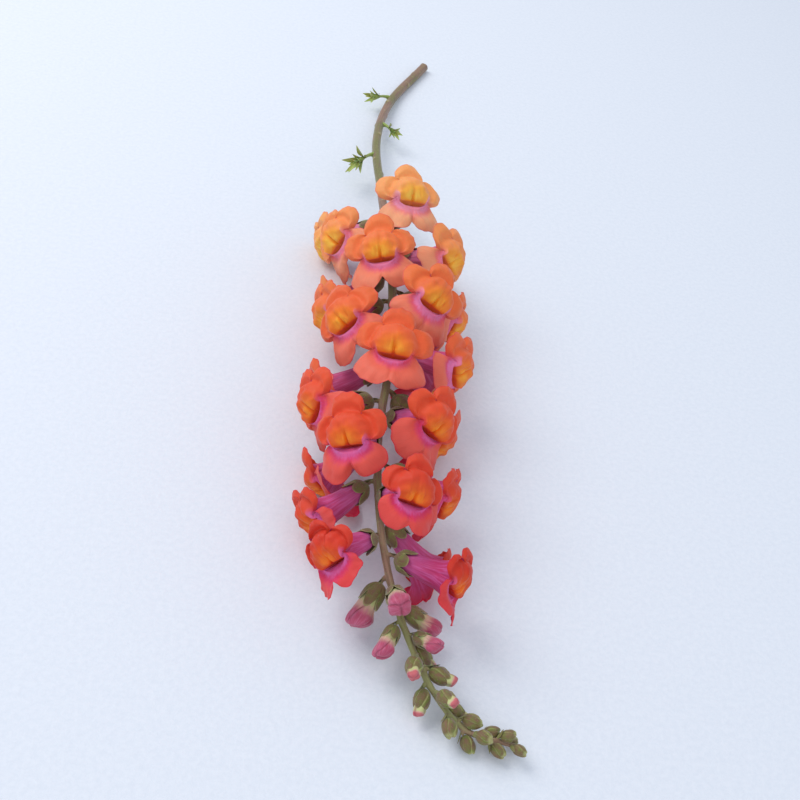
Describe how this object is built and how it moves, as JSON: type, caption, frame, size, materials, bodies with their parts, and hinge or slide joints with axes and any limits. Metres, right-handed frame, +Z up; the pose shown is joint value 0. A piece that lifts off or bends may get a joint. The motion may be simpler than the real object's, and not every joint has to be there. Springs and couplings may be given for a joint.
{
  "type": "cut snapdragon stem",
  "caption": "Cut snapdragon stem lying on its side: a spike of two-lipped flowers grading from red to apricot, with buds at the tip and a bare stalk.",
  "frame": {"origin": "centre of the whole stem's box, at the level of the surface that it lies on", "axes": "+Y from the flowering tip towards the cut end, +Z up from the surface, +X towards the side that the tip bends to"},
  "size_m": [0.0952, 0.5398, 0.0666],
  "materials": {
    "stem_skin": "satin, finely hairy",
    "petal_red": "matte velvety petal",
    "petal_coral": "matte velvety petal",
    "petal_apricot": "matte velvety petal",
    "bud_petal": "matte velvety petal",
    "shoot_leaf": "soft young leaf"
  },
  "bodies": {
    "root": {"stem": "stem_skin", "floret_01": "petal_red", "floret_02": "petal_red", "floret_03": "petal_red", "floret_04": "petal_red", "floret_05": "petal_red", "floret_06": "petal_red", "floret_07": "petal_red", "floret_08": "petal_red", "floret_09": "petal_red", "floret_10": "petal_coral", "floret_11": "petal_coral", "floret_12": "petal_coral", "floret_13": "petal_coral", "floret_14": "petal_coral", "floret_15": "petal_coral", "floret_16": "petal_coral", "floret_17": "petal_coral", "floret_18": "petal_coral", "floret_19": "petal_apricot", "floret_20": "petal_apricot", "floret_21": "petal_apricot", "floret_22": "petal_apricot", "floret_23": "petal_apricot", "floret_24": "petal_apricot", "floret_25": "petal_apricot", "floret_26": "petal_apricot", "bud_01": "bud_petal", "bud_02": "bud_petal", "bud_03": "bud_petal", "bud_04": "bud_petal", "bud_05": "bud_petal", "side_shoot_01": "shoot_leaf", "side_shoot_02": "shoot_leaf", "side_shoot_03": "shoot_leaf", "side_shoot_04": "shoot_leaf"}
  },
  "joints": []
}
